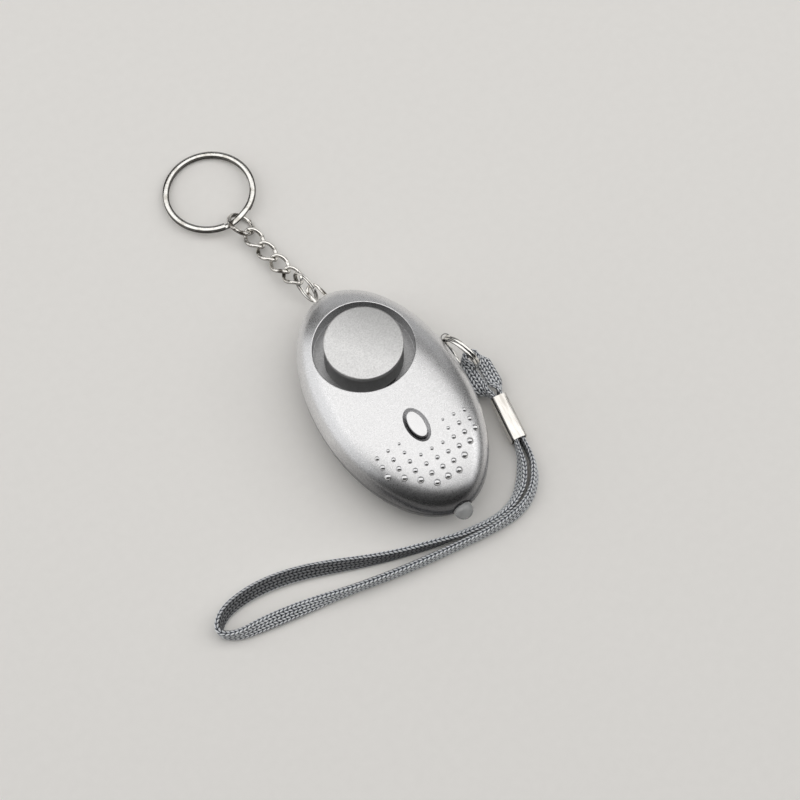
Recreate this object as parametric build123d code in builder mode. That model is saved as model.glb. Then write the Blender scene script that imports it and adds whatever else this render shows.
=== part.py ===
from build123d import *
import os
from math import atan2, cos, degrees, pi, radians, sin, sqrt, tan

# Personal safety alarm: an egg-shaped case with a siren, a torch, a pull pin on a wrist strap and a
# key chain. Millimetres. The origin is the centre of the flat rest face on the back, +Z is up through
# the speaker, +Y points to the key chain and +X to the pull pin.

# Case
half_width = 20.0
half_length = 34.0
parting_z = 9.1
crown_rise = 9.5
back_depth = 9.45
crown_power = 2.6
profile_steps = 12
wall = 1.6
running_gap = 0.1
seat_gap = 0.05
overrun = 60.0
groove = 0.2
lip_height = 1.0
lip_thickness = 0.8

# Speaker
speaker_y = 13.8
well_radius = 13.1
well_floor_z = 10.5
cup_wall = 1.15
rim_radius = 0.25
cap_radius = 10.2
cap_height = 9.0
cap_wall = 1.2
cap_edge = 0.35
port_width = 3.4
port_height = 0.9
port_angles = (-77, 43, 163)
throat_radius = 8.6
gasket_thickness = 0.3
gasket_width = 1.9
piezo_radius = 13.4
piezo_thickness = 0.25
ceramic_radius = 9.5
ceramic_thickness = 0.2

# Torch
torch_y = -12.0
button_length = 7.8
button_width = 4.2
button_stand = 0.55
button_edge = 0.35
button_travel = 0.5
bevel_length = 10.4
bevel_width = 6.2
bevel_depth = 0.9
bevel_slope = 3.3
flange_margin = 1.0
flange_thickness = 0.8
flange_drop = 2.4
stem_radius = 1.5
tact_size = 6.0
tact_height = 3.5
plunger_radius = 1.7
plunger_stand = 1.5
plunger_depth = 1.8
led_radius = 2.5
led_length = 8.6
led_tip_y = -37.0
led_flange_radius = 2.9
led_flange_thickness = 1.0
lead_size = 0.5
lead_pitch = 2.54
lead_length = 4.4

# Grip bumps: one radius for each row, from the narrow end, and for each column its first row and count
bump_radii = (0.8, 0.64, 0.54, 0.42, 0.34)
bump_sink_share = 0.2
bump_column_pitch = 3.2
bump_row_pitch = 2.6
bump_first_y = -27.0
bump_columns = {0: (0, 4), 1: (0, 4), 2: (1, 5), 3: (2, 4), 4: (3, 3)}

# Screws
screw_x = 12.6
screw_y = -14.0
screw_radius = 0.9
screw_head_radius = 1.8
screw_head_height = 1.2
screw_seat_z = 3.7
screw_tip_z = 13.6
screw_slot = 0.5
front_boss_radius = 2.2
back_boss_radius = 2.9

# Battery and board
cell_radius = 5.8
cell_height = 5.4
cell_cap_radius = 4.8
cell_cap_height = 0.5
cell_floor_z = 2.5
cell_gap = 0.15
cell_spread = 6.1
cell_pair_y = -6.8
cell_single_y = -17.3
tray_wall = 0.9
tray_top_z = 5.0
strip_thickness = 0.2
strip_width = 4.0
contact_radius = 1.0
board_half_width = 15.6
board_half_length = 27.5
board_top_z = 9.15
board_thickness = 0.8
board_edge_y = -1.0
board_post_radius = 1.2
board_post_x = 11.5
board_post_y = -2.0
board_end_post_x = 7.5
board_end_post_y = -22.0
chip_length = 5.0
chip_width = 4.0
chip_height = 1.5
chip_leg = 0.4
chip_leg_pitch = 1.27
chip_x = -7.5
chip_y = -4.6
coil_radius = 3.2
coil_height = 4.4
coil_neck = 0.8
coil_flange = 0.9
coil_x = 7.0
coil_y = -18.5
capacitor_radius = 2.0
capacitor_height = 5.0
capacitor_groove = 0.2
capacitor_x = 7.5
capacitor_y = -4.6
transistor_radius = 2.3
transistor_height = 4.5
transistor_flat = 1.3
transistor_x = -7.0
transistor_y = -18.5
wire_radius = 0.35
wire_bend = 0.4
wire_z = 7.6
wire_board_y = -2.2
wire_x = 1.2
wire_plate_y = 2.2
wire_ceramic_y = 6.0

# Pull pin and its switch
pin_y = 7.7
pin_z = 10.3
pin_thickness = 1.6
pin_width = 3.2
pin_tip_x = 14.4
pin_tip_thickness = 0.8
pin_taper = 2.8
pin_slot_gap = 0.2
pin_travel = 12.0
eye_x = 20.75
eye_radius = 1.6
eye_hole_radius = 1.15
arm_x = 14.2
arm_width = 2.2
arm_end_y = 9.9
leaf_x = 14.6
leaf_width = 1.6
leaf_thickness = 0.2
leaf_hinge_y = 3.9
leaf_end_y = 9.6
leaf_root = 0.9
leaf_lift = 0.12
fixed_leaf_length = 4.4

# Pin ring, standing nearly upright in the pin's eye
pin_ring_radius = 5.55
pin_ring_radial = 0.9
pin_ring_axial = 1.9
pin_ring_z = 8.0
pin_ring_turn = 14.5
ring_corner_share = 0.36
ring_gap = 0.4
ring_step_angle = 20.0

# Wrist strap
strap_width = 4.2
strap_thickness = 1.2
strap_clear = 0.1
strand_offset = 0.63
ferrule_length = 12.4
ferrule_wall = 0.3
ferrule_play = 0.05
ferrule_corner = 0.9
ferrule_x = 23.7
ferrule_y = -23.5
ferrule_turn = 6.2
ferrule_tilt = 7.0
bend_share = 0.45
ring_loop_route = [
    (9.0, -0.63), (13.6, -0.64), (15.4, -1.6), (18.0, -2.8), (21.8, -2.6), (25.0, -0.8),
    (26.6, 1.6), (25.5, 3.9), (23.6, 5.2), (20.6, 4.75), (17.2, 3.1), (15.2, 1.4),
    (13.5, 0.65), (9.0, 0.63),
]
hand_loop_route = [
    (23.07, -23.5), (22.2, -28.2), (20.4, -32.2), (17.0, -36.1), (12.0, -38.3), (5.7, -38.6),
    (-6.1, -36.6), (-17.7, -34.1), (-26.5, -31.4), (-35.0, -28.0), (-43.0, -25.2), (-51.0, -23.6),
    (-57.5, -23.4), (-62.6, -24.5), (-65.5, -28.2), (-62.3, -31.2), (-56.0, -32.35), (-46.0, -33.8),
    (-35.5, -35.6), (-25.0, -37.7), (-15.0, -39.3), (-5.0, -40.35), (5.2, -40.7), (12.6, -39.8),
    (18.2, -37.3), (21.9, -32.9), (23.6, -28.4), (24.33, -23.6),
]

# Key chain: each piece stands at its distance from the anchor post along the chain's heading
post_y = 30.9
post_radius = 0.75
post_boss_radius = 1.6
post_bottom_z = 5.6
post_top_z = 12.6
chain_turn = 9.7
chain_slot_half_width = 3.7
chain_slot_height = 1.5
anchor_wire = 0.45
anchor_half_gap = 1.6
anchor_length = 8.2
small_ring_radius = 4.3
small_ring_radial = 0.8
small_ring_axial = 1.2
small_ring_z = 6.3
small_ring_lean = 4.0
small_ring_distance = 9.8
link_half_length = 3.15
link_half_width = 2.1
link_wire = 0.45
link_twist = -45.0
link_steps = 8
link_quarters = 4
link_pitch = 5.23
first_link_distance = 15.4
link_heights = (3.9, 2.85, 2.35, 2.3)
link_slopes = (13, 9, 3, 0)
jump_ring_radius = 3.55
jump_ring_wire = 0.5
jump_ring_roll = 38.0
jump_ring_z = 2.74
jump_ring_step = 5.41
key_ring_radius = 11.65
key_ring_radial = 1.6
key_ring_axial = 1.5
key_ring_step = 13.4
key_ring_far_z = 0.82

board_bottom_z = board_top_z - board_thickness
cell_top_z = cell_floor_z + cell_height
cell_places = [
    (-cell_spread, cell_pair_y),
    (0, cell_single_y),
    (cell_spread, cell_pair_y),
]
well_ceiling_z = well_floor_z - cup_wall
screw_places = [(-screw_x, screw_y), (screw_x, screw_y)]
strap_z = strap_clear + strap_width / 2
up = Vector(0, 0, 1)


def quarter_form(width, length, rise, direction):
    """Half of the egg, above or below the parting plane: a flat-crowned dome stretched along Y."""
    profile_plane = Plane(origin=(0, 0, parting_z), x_dir=(1, 0, 0), z_dir=(0, -1, 0))
    share = 2 / crown_power
    crown = []
    for step in range(profile_steps):
        angle = pi / 2 * step / profile_steps
        crown.append((width * cos(angle) ** share, direction * rise * sin(angle) ** share))
    crown.append((0, direction * rise))
    with BuildPart() as form:
        with BuildSketch(profile_plane):
            with BuildLine():
                Spline(*crown, tangents=[(0, direction), (-1, 0)])
                Line((0, direction * rise), (0, 0))
                Line((0, 0), (width, 0))
            make_face()
        revolve(axis=Axis.Z)
    return scale(form.part, by=(1, length / width, 1))


def crown_height(x, y):
    """Height of the front shell's outside over a place on the parting plane."""
    reach = sqrt((x / half_width) ** 2 + (y / half_length) ** 2)
    return parting_z + crown_rise * (1 - reach**crown_power) ** (1 / crown_power)


def cylinder_between(x, y, radius, bottom, top, mode=Mode.ADD):
    """An upright cylinder between two heights, in the part being built."""
    with BuildSketch(Plane.XY.offset(bottom)) as disc:
        with Locations((x, y)):
            Circle(radius)
    extrude(disc.sketch, amount=top - bottom, mode=mode)


def block_between(low, high, mode=Mode.ADD):
    """A box given by its two corners, in the part being built."""
    with BuildSketch(Plane.XY.offset(low[2])) as base:
        with Locations(((low[0] + high[0]) / 2, (low[1] + high[1]) / 2)):
            Rectangle(high[0] - low[0], high[1] - low[1])
    extrude(base.sketch, amount=high[2] - low[2], mode=mode)


def finish(part, name):
    """Label a finished piece and write it."""
    part.label = name
    export_step(part, f"parts/{name}.step")
    print(f"{name}: {len(part.solids())} solid(s), volume {part.volume:.2f}, valid {part.is_valid}")


os.makedirs("parts", exist_ok=True)

outer_front = quarter_form(half_width, half_length, crown_rise, 1)
outer_back = quarter_form(half_width, half_length, back_depth, -1)
inner_front = quarter_form(half_width - wall, half_length - wall, crown_rise - wall, 1)
inner_back = quarter_form(half_width - wall, half_length - wall, back_depth - wall, -1)

# The thin groove that shows along the parting line
with BuildPart() as groove_form:
    with BuildSketch(Plane.XZ):
        with Locations((half_width, parting_z)):
            Rectangle(groove, groove, rotation=45)
    revolve(axis=Axis.Z)
parting_groove = scale(groove_form.part, by=(1, half_length / half_width, 1))


def shared_openings():
    """The lamp hole, the pin's slot and the chain's slot, which both shells give way to."""
    with BuildSketch(Plane.XZ.offset(half_length - led_length)) as lamp_hole:
        with Locations((0, parting_z)):
            Circle(led_radius + running_gap)
    extrude(lamp_hole.sketch, amount=overrun, mode=Mode.SUBTRACT)
    block_between(
        (-chain_slot_half_width, post_y - 2 * post_boss_radius, parting_z - chain_slot_height / 2),
        (chain_slot_half_width, half_length + wall, parting_z + chain_slot_height / 2),
        Mode.SUBTRACT,
    )


# Front shell
slot_half_width = pin_width / 2 + pin_slot_gap
slot_top_z = pin_z + pin_thickness / 2 + pin_slot_gap
with BuildPart() as front_cavity:
    add(inner_front)
    cylinder_between(0, speaker_y, well_radius + cup_wall, well_ceiling_z, overrun, Mode.SUBTRACT)
    for boss_x, boss_y in screw_places:
        cylinder_between(boss_x, boss_y, front_boss_radius, parting_z, overrun, Mode.SUBTRACT)
    cylinder_between(
        0, post_y, post_boss_radius, parting_z + chain_slot_height / 2, overrun, Mode.SUBTRACT
    )

button_top_z = crown_height(0, torch_y)
bevel_plane = Plane(
    origin=(0, torch_y, button_top_z),
    x_dir=(1, 0, 0),
    z_dir=(0, -sin(radians(bevel_slope)), cos(radians(bevel_slope))),
)
with BuildPart() as front_shell:
    add(outer_front)
    add(front_cavity.part, mode=Mode.SUBTRACT)
    cylinder_between(0, speaker_y, well_radius, well_floor_z, overrun, Mode.SUBTRACT)
    rim_edges = [
        edge
        for edge in edges()
        if abs(sqrt((edge @ 0.5).X ** 2 + ((edge @ 0.5).Y - speaker_y) ** 2) - well_radius) < groove
        and (edge @ 0.5).Z > well_floor_z + wall
    ]
    fillet(rim_edges, rim_radius)
    cylinder_between(0, speaker_y, throat_radius, well_ceiling_z - wall, well_floor_z, Mode.SUBTRACT)
    with BuildSketch(bevel_plane.offset(rim_radius)):
        Ellipse(bevel_width / 2 + rim_radius / 2, bevel_length / 2 + rim_radius / 2)
    with BuildSketch(bevel_plane.offset(-bevel_depth)):
        Ellipse(button_width / 2 + running_gap, button_length / 2 + running_gap)
    loft(mode=Mode.SUBTRACT)
    with BuildSketch(Plane.XY.offset(parting_z)):
        with Locations((0, torch_y)):
            Ellipse(button_width / 2 + running_gap, button_length / 2 + running_gap)
    extrude(amount=overrun, mode=Mode.SUBTRACT)
    for boss_x, boss_y in screw_places:
        cylinder_between(
            boss_x, boss_y, screw_radius + seat_gap, parting_z, screw_tip_z + running_gap, Mode.SUBTRACT
        )
    cylinder_between(0, post_y, post_radius + seat_gap, parting_z, post_top_z, Mode.SUBTRACT)
    block_between(
        (arm_x, pin_y - slot_half_width, parting_z - wall),
        (half_width + wall, pin_y + slot_half_width, slot_top_z),
        Mode.SUBTRACT,
    )
    shared_openings()
    add(parting_groove, mode=Mode.SUBTRACT)
    with BuildPart(mode=Mode.PRIVATE) as bumps:
        for column, (first_row, count) in bump_columns.items():
            for side in {1, -1} if column else {1}:
                for step in range(count):
                    bump_x = side * column * bump_column_pitch
                    bump_y = bump_first_y + (first_row + step) * bump_row_pitch
                    bump_z = crown_height(bump_x, bump_y) - bump_sink_share * bump_radii[step]
                    with Locations((bump_x, bump_y, bump_z)):
                        Sphere(bump_radii[step])
    add(bumps.part)
finish(front_shell.part, "front_shell")

# Rear shell
board_posts = [
    (-board_post_x, board_post_y),
    (board_post_x, board_post_y),
    (-board_end_post_x, board_end_post_y),
    (board_end_post_x, board_end_post_y),
]
strip_floor_z = cell_floor_z - strip_thickness - seat_gap
with BuildPart() as back_cavity:
    add(inner_back)
    block_between((-overrun, -overrun, -overrun), (overrun, overrun, wall), Mode.SUBTRACT)
    for boss_x, boss_y in screw_places:
        cylinder_between(boss_x, boss_y, back_boss_radius, 0, parting_z, Mode.SUBTRACT)
    for post_place_x, post_place_y in board_posts:
        cylinder_between(post_place_x, post_place_y, board_post_radius, 0, board_bottom_z, Mode.SUBTRACT)
    cylinder_between(
        0, post_y, post_boss_radius, 0, parting_z - chain_slot_height / 2, Mode.SUBTRACT
    )
    for cell_x, cell_y in cell_places:
        cylinder_between(
            cell_x, cell_y, cell_radius + cell_gap + tray_wall, 0, tray_top_z, Mode.SUBTRACT
        )

riser_x = cell_spread + cell_radius + cell_gap + tray_wall + strip_thickness
with BuildPart() as rear_shell:
    add(outer_back)
    block_between((-overrun, -overrun, -overrun), (overrun, overrun, 0), Mode.SUBTRACT)
    add(back_cavity.part, mode=Mode.SUBTRACT)
    with BuildSketch(Plane.XY.offset(parting_z - lip_height)):
        Ellipse(half_width - wall / 2, half_length - wall / 2)
        Ellipse(
            half_width - wall - running_gap - lip_thickness,
            half_length - wall - running_gap - lip_thickness,
            mode=Mode.SUBTRACT,
        )
    extrude(amount=lip_height)
    with BuildSketch(Plane.XY.offset(parting_z)):
        Ellipse(half_width - wall - running_gap, half_length - wall - running_gap)
        Ellipse(
            half_width - wall - running_gap - lip_thickness,
            half_length - wall - running_gap - lip_thickness,
            mode=Mode.SUBTRACT,
        )
    extrude(amount=lip_height)
    for cell_x, cell_y in cell_places:
        cylinder_between(cell_x, cell_y, cell_radius + cell_gap, strip_floor_z, parting_z, Mode.SUBTRACT)
    strip_heading = atan2(cell_single_y - cell_pair_y, cell_spread)
    with BuildSketch(Plane.XY.offset(strip_floor_z)):
        with Locations(Location((-cell_spread / 2, (cell_pair_y + cell_single_y) / 2, 0), degrees(strip_heading))):
            Rectangle(2 * cell_spread, strip_width + 2 * cell_gap)
    extrude(amount=tray_top_z, mode=Mode.SUBTRACT)
    block_between(
        (cell_spread, cell_pair_y - strip_width / 2 - cell_gap, strip_floor_z),
        (riser_x + strip_thickness + cell_gap, cell_pair_y + strip_width / 2 + cell_gap, parting_z),
        Mode.SUBTRACT,
    )
    for boss_x, boss_y in screw_places:
        cylinder_between(boss_x, boss_y, screw_radius + running_gap, 0, overrun, Mode.SUBTRACT)
        cylinder_between(
            boss_x, boss_y, screw_head_radius + running_gap, -wall, screw_seat_z, Mode.SUBTRACT
        )
    cylinder_between(0, post_y, post_radius + seat_gap, post_bottom_z, overrun, Mode.SUBTRACT)
    block_between(
        (arm_x, pin_y - slot_half_width, parting_z),
        (half_width + wall, pin_y + slot_half_width, overrun),
        Mode.SUBTRACT,
    )
    shared_openings()
    add(parting_groove, mode=Mode.SUBTRACT)
finish(rear_shell.part, "rear_shell")

with BuildPart() as case_screws:
    for boss_x, boss_y in screw_places:
        head_bottom_z = screw_seat_z - screw_head_height - seat_gap
        cylinder_between(boss_x, boss_y, screw_head_radius, head_bottom_z, screw_seat_z - seat_gap)
        cylinder_between(boss_x, boss_y, screw_radius, screw_seat_z - seat_gap, screw_tip_z)
        block_between(
            (boss_x - screw_radius, boss_y - screw_slot / 2, head_bottom_z),
            (boss_x + screw_radius, boss_y + screw_slot / 2, head_bottom_z + screw_slot),
            Mode.SUBTRACT,
        )
        block_between(
            (boss_x - screw_slot / 2, boss_y - screw_radius, head_bottom_z),
            (boss_x + screw_slot / 2, boss_y + screw_radius, head_bottom_z + screw_slot),
            Mode.SUBTRACT,
        )
finish(case_screws.part, "case_screws")

# Speaker cap, a cup standing upside down on the well's floor, with sound ports at its foot
cap_top_z = well_floor_z + cap_height
with BuildPart() as speaker_cap:
    cylinder_between(0, speaker_y, cap_radius, well_floor_z, cap_top_z)
    fillet(edges().group_by(Axis.Z)[-1], cap_edge)
    cylinder_between(
        0, speaker_y, cap_radius - cap_wall, well_floor_z, cap_top_z - cap_wall, Mode.SUBTRACT
    )
    for angle in port_angles:
        port_plane = Plane(
            origin=(0, speaker_y, well_floor_z + port_height / 2),
            x_dir=(-sin(radians(angle)), cos(radians(angle)), 0),
            z_dir=(cos(radians(angle)), sin(radians(angle)), 0),
        )
        with BuildSketch(port_plane):
            Rectangle(port_width, port_height)
        extrude(amount=cap_radius + wall, mode=Mode.SUBTRACT)
finish(speaker_cap.part, "speaker_cap")

gasket_bottom_z = well_ceiling_z - gasket_thickness
with BuildPart() as piezo_gasket:
    cylinder_between(0, speaker_y, piezo_radius, gasket_bottom_z, well_ceiling_z)
    cylinder_between(
        0, speaker_y, piezo_radius - gasket_width, gasket_bottom_z, well_ceiling_z, Mode.SUBTRACT
    )
finish(piezo_gasket.part, "piezo_gasket")

plate_bottom_z = gasket_bottom_z - piezo_thickness
with BuildPart() as piezo_plate:
    cylinder_between(0, speaker_y, piezo_radius, plate_bottom_z, gasket_bottom_z)
finish(piezo_plate.part, "piezo_plate")

ceramic_bottom_z = plate_bottom_z - ceramic_thickness
with BuildPart() as piezo_ceramic:
    cylinder_between(0, speaker_y, ceramic_radius, ceramic_bottom_z, plate_bottom_z)
finish(piezo_ceramic.part, "piezo_ceramic")

with BuildPart() as piezo_wires:
    for end_x, end_y, end_z in (
        (wire_x, wire_plate_y, plate_bottom_z),
        (-wire_x, wire_ceramic_y, ceramic_bottom_z),
    ):
        with BuildLine() as wire_path:
            FilletPolyline(
                (end_x, end_y, end_z),
                (end_x, end_y, wire_z),
                (end_x, wire_board_y, wire_z),
                (end_x, wire_board_y, board_bottom_z),
                radius=wire_bend,
            )
        with BuildSketch(Plane(origin=(end_x, end_y, end_z), z_dir=(0, 0, -1))):
            Circle(wire_radius)
        sweep(path=wire_path.wires()[0])
finish(piezo_wires.part, "piezo_wires")

# Torch button, held under the front shell by its flange
flange_top_z = button_top_z - flange_drop
flange_bottom_z = flange_top_z - flange_thickness
plunger_top_z = board_top_z + tact_height + plunger_stand
with BuildPart() as torch_button:
    with BuildSketch(Plane.XY.offset(flange_bottom_z)):
        with Locations((0, torch_y)):
            Ellipse(button_width / 2, button_length / 2)
    extrude(amount=overrun)
    split(bisect_by=bevel_plane.offset(button_stand), keep=Keep.BOTTOM)
    fillet(edges().group_by(Axis.Z)[-1], button_edge)
    with BuildSketch(Plane.XY.offset(flange_bottom_z)):
        with Locations((0, torch_y)):
            Ellipse(button_width / 2 + flange_margin, button_length / 2 + flange_margin)
    extrude(amount=flange_thickness)
    cylinder_between(0, torch_y, stem_radius, plunger_top_z + seat_gap, flange_bottom_z)
finish(torch_button.part, "torch_button")

with BuildPart() as tact_switch:
    block_between(
        (-tact_size / 2, torch_y - tact_size / 2, board_top_z),
        (tact_size / 2, torch_y + tact_size / 2, board_top_z + tact_height),
    )
    cylinder_between(
        0,
        torch_y,
        plunger_radius + seat_gap,
        board_top_z + tact_height - plunger_depth - button_travel,
        overrun,
        Mode.SUBTRACT,
    )
finish(tact_switch.part, "tact_switch")

with BuildPart() as tact_plunger:
    cylinder_between(
        0, torch_y, plunger_radius, board_top_z + tact_height - plunger_depth, plunger_top_z
    )
finish(tact_plunger.part, "tact_plunger")

# Torch lamp: a round clear body with a domed tip, lying along Y on the parting plane
led_back_y = led_tip_y + led_length
with BuildPart() as torch_led:
    with BuildSketch(Plane(origin=(0, led_back_y, parting_z), x_dir=(1, 0, 0), z_dir=(0, 0, 1))):
        with BuildLine():
            Line((0, 0), (led_flange_radius, 0))
            Line((led_flange_radius, 0), (led_flange_radius, -led_flange_thickness))
            Line((led_flange_radius, -led_flange_thickness), (led_radius, -led_flange_thickness))
            Line((led_radius, -led_flange_thickness), (led_radius, led_radius - led_length))
            RadiusArc((led_radius, led_radius - led_length), (0, -led_length), led_radius)
            Line((0, -led_length), (0, 0))
        make_face()
    revolve(axis=Axis((0, led_back_y, parting_z), (0, 1, 0)))
finish(torch_led.part, "torch_led")

with BuildPart() as led_leads:
    for side in (-1, 1):
        block_between(
            (side * lead_pitch / 2 - lead_size / 2, led_back_y, board_top_z),
            (side * lead_pitch / 2 + lead_size / 2, led_back_y + lead_length, board_top_z + lead_size),
        )
finish(led_leads.part, "led_leads")

# Circuit board, with an arm that carries the pin switch
with BuildPart() as circuit_board:
    with BuildSketch(Plane.XY.offset(board_bottom_z)):
        Ellipse(board_half_width, board_half_length)
        with Locations((0, board_edge_y)):
            Rectangle(overrun, overrun, align=(Align.CENTER, Align.MIN), mode=Mode.SUBTRACT)
        with Locations((arm_x + arm_width / 2, (arm_end_y + 3 * board_edge_y) / 2)):
            Rectangle(arm_width, arm_end_y - 3 * board_edge_y)
        with Locations(*screw_places):
            Circle(back_boss_radius + 3 * running_gap, mode=Mode.SUBTRACT)
    extrude(amount=board_thickness)
finish(circuit_board.part, "circuit_board")

with BuildPart() as alarm_chip:
    block_between(
        (chip_x - chip_width / 2, chip_y - chip_length / 2, board_top_z + running_gap),
        (chip_x + chip_width / 2, chip_y + chip_length / 2, board_top_z + chip_height),
    )
    for leg in (-1.5, -0.5, 0.5, 1.5):
        leg_y = chip_y + leg * chip_leg_pitch
        block_between(
            (chip_x - chip_width / 2 - 2 * chip_leg, leg_y - chip_leg / 2, board_top_z),
            (chip_x + chip_width / 2 + 2 * chip_leg, leg_y + chip_leg / 2, board_top_z + chip_leg),
        )
finish(alarm_chip.part, "alarm_chip")

with BuildPart() as boost_coil:
    cylinder_between(coil_x, coil_y, coil_radius, board_top_z, board_top_z + coil_flange)
    cylinder_between(coil_x, coil_y, coil_radius - coil_neck, board_top_z, board_top_z + coil_height)
    cylinder_between(
        coil_x, coil_y, coil_radius, board_top_z + coil_height - coil_flange, board_top_z + coil_height
    )
finish(boost_coil.part, "boost_coil")

with BuildPart() as capacitor:
    cylinder_between(
        capacitor_x, capacitor_y, capacitor_radius, board_top_z, board_top_z + capacitor_height
    )
    fillet(edges().group_by(Axis.Z)[-1], capacitor_groove)
    with BuildSketch(Plane.XY.offset(board_top_z + capacitor_radius / 2)):
        with Locations((capacitor_x, capacitor_y)):
            Circle(capacitor_radius + wall)
            Circle(capacitor_radius - capacitor_groove, mode=Mode.SUBTRACT)
    extrude(amount=2 * capacitor_groove, mode=Mode.SUBTRACT)
finish(capacitor.part, "capacitor")

with BuildPart() as transistor:
    cylinder_between(
        transistor_x,
        transistor_y,
        transistor_radius,
        board_top_z,
        board_top_z + transistor_height,
    )
    block_between(
        (transistor_x - transistor_radius, transistor_y + transistor_flat, board_top_z),
        (
            transistor_x + transistor_radius,
            transistor_y + transistor_radius + wall,
            board_top_z + transistor_height,
        ),
        Mode.SUBTRACT,
    )
finish(transistor.part, "transistor")

# Three button cells flat in the rear shell's pockets, joined in series
for number, (cell_x, cell_y) in enumerate(cell_places, start=1):
    plus_up = number != 2
    can_bottom_z = cell_floor_z + (cell_cap_height if plus_up else 0)
    with BuildPart() as button_cell:
        cylinder_between(
            cell_x, cell_y, cell_radius, can_bottom_z, can_bottom_z + cell_height - cell_cap_height
        )
        fillet(edges().filter_by(GeomType.CIRCLE), cell_cap_height / 2)
        cylinder_between(cell_x, cell_y, cell_cap_radius, cell_floor_z, cell_top_z)
    finish(button_cell.part, f"button_cell_{number}")


def cell_link(name, first, second, bottom):
    """A flat strip that joins the faces of two cells."""
    run_x = second[0] - first[0]
    run_y = second[1] - first[1]
    middle = Location(
        ((first[0] + second[0]) / 2, (first[1] + second[1]) / 2, 0), degrees(atan2(run_y, run_x))
    )
    with BuildPart() as strip:
        with BuildSketch(Plane.XY.offset(bottom)):
            with Locations(middle):
                SlotOverall(sqrt(run_x**2 + run_y**2) + strip_width / 2, strip_width)
        extrude(amount=strip_thickness)
    finish(strip.part, name)


cell_link("cell_link_bottom", cell_places[0], cell_places[1], cell_floor_z - strip_thickness)
cell_link("cell_link_top", cell_places[1], cell_places[2], cell_top_z)

with BuildPart() as battery_plus_contact:
    block_between(
        (-cell_spread - strip_width / 2, cell_pair_y, board_bottom_z - strip_thickness),
        (-cell_spread + strip_width / 2, cell_pair_y + strip_width, board_bottom_z),
    )
    cylinder_between(
        -cell_spread, cell_pair_y + contact_radius, contact_radius, cell_top_z, board_bottom_z
    )
finish(battery_plus_contact.part, "battery_plus_contact")

with BuildPart() as battery_minus_contact:
    block_between(
        (cell_spread, cell_pair_y - strip_width / 2, cell_floor_z - strip_thickness),
        (riser_x, cell_pair_y + strip_width / 2, cell_floor_z),
    )
    block_between(
        (riser_x - strip_thickness, cell_pair_y - strip_width / 2, cell_floor_z - strip_thickness),
        (riser_x, cell_pair_y + strip_width / 2, board_bottom_z),
    )
finish(battery_minus_contact.part, "battery_minus_contact")

# Pin switch: the pin's tongue lies between a fixed leaf and a moving leaf
leaf_bottom_z = pin_z + pin_thickness / 2 + leaf_lift
with BuildPart() as switch_fixed_leaf:
    block_between(
        (leaf_x, arm_end_y - fixed_leaf_length, board_top_z),
        (leaf_x + leaf_width, arm_end_y, board_top_z + leaf_thickness),
    )
finish(switch_fixed_leaf.part, "switch_fixed_leaf")

with BuildPart() as switch_post:
    block_between(
        (leaf_x, leaf_hinge_y - leaf_root, board_top_z),
        (leaf_x + leaf_width, leaf_hinge_y, leaf_bottom_z - seat_gap / 2),
    )
finish(switch_post.part, "switch_post")

with BuildPart() as switch_moving_leaf:
    block_between(
        (leaf_x, leaf_hinge_y - leaf_root, leaf_bottom_z),
        (leaf_x + leaf_width, leaf_end_y, leaf_bottom_z + leaf_thickness),
    )
finish(switch_moving_leaf.part, "switch_moving_leaf")

# Pull pin: a tongue that thins towards its tip, and an eye outside the case
pin_low_z = pin_z - pin_thickness / 2
with BuildPart() as pull_pin:
    with BuildSketch(Plane.XZ.offset(-pin_y - pin_width / 2)):
        Polygon(
            (pin_tip_x, pin_low_z),
            (eye_x, pin_low_z),
            (eye_x, pin_low_z + pin_thickness),
            (pin_tip_x + pin_taper, pin_low_z + pin_thickness),
            (pin_tip_x, pin_low_z + pin_tip_thickness),
            align=None,
        )
    extrude(amount=pin_width)
    cylinder_between(eye_x, pin_y, eye_radius, pin_low_z, pin_low_z + pin_thickness)
    cylinder_between(eye_x, pin_y, eye_hole_radius, 0, overrun, Mode.SUBTRACT)
finish(pull_pin.part, "pull_pin")


def round_section(plane, radius, radial, axial):
    """The section of a two-coil split ring, on a plane through the ring's axis."""
    corner = ring_corner_share * min(radial, axial / 2)
    with BuildSketch(plane) as section:
        with Locations((radius, axial / 4), (radius, -axial / 4)):
            RectangleRounded(radial, axial / 2, corner)
        with Locations((radius, 0)):
            Rectangle(radial - 2 * corner, corner)
    return section.sketch


def split_ring(name, centre, along, across, radius, radial, axial, end_angle):
    """A flat-wound ring of two coils, with the free end of each coil showing as a step."""
    axis = along.cross(across)
    with BuildPart() as ring:
        section_plane = Plane(origin=centre, x_dir=along, z_dir=-across)
        revolve(round_section(section_plane, radius, radial, axial), axis=Axis(centre, axis))
        for side, angle in ((1, end_angle), (-1, end_angle + ring_step_angle)):
            outwards = along * cos(radians(angle)) + across * sin(radians(angle))
            gap_centre = centre + outwards * radius + axis * (side * axial / 2)
            with BuildSketch(Plane(origin=gap_centre, x_dir=outwards, z_dir=axis * side)):
                Rectangle(2 * radial, ring_gap)
            extrude(amount=-axial / 2, mode=Mode.SUBTRACT)
    finish(ring.part, name)
    return ring.part


# Pin ring: upright, with its heading turned outwards from the case's side
ring_heading = Vector(sin(radians(pin_ring_turn)), -cos(radians(pin_ring_turn)), 0)
eye_angle = (pin_z - pin_ring_z) / pin_ring_radius
ring_reach = pin_ring_radius * sqrt(1 - eye_angle**2)
pin_ring_centre = Vector(eye_x, pin_y, pin_ring_z) + ring_heading * ring_reach
pin_ring = split_ring(
    "pin_ring", pin_ring_centre, ring_heading, up, pin_ring_radius, pin_ring_radial, pin_ring_axial, 250
)

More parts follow.
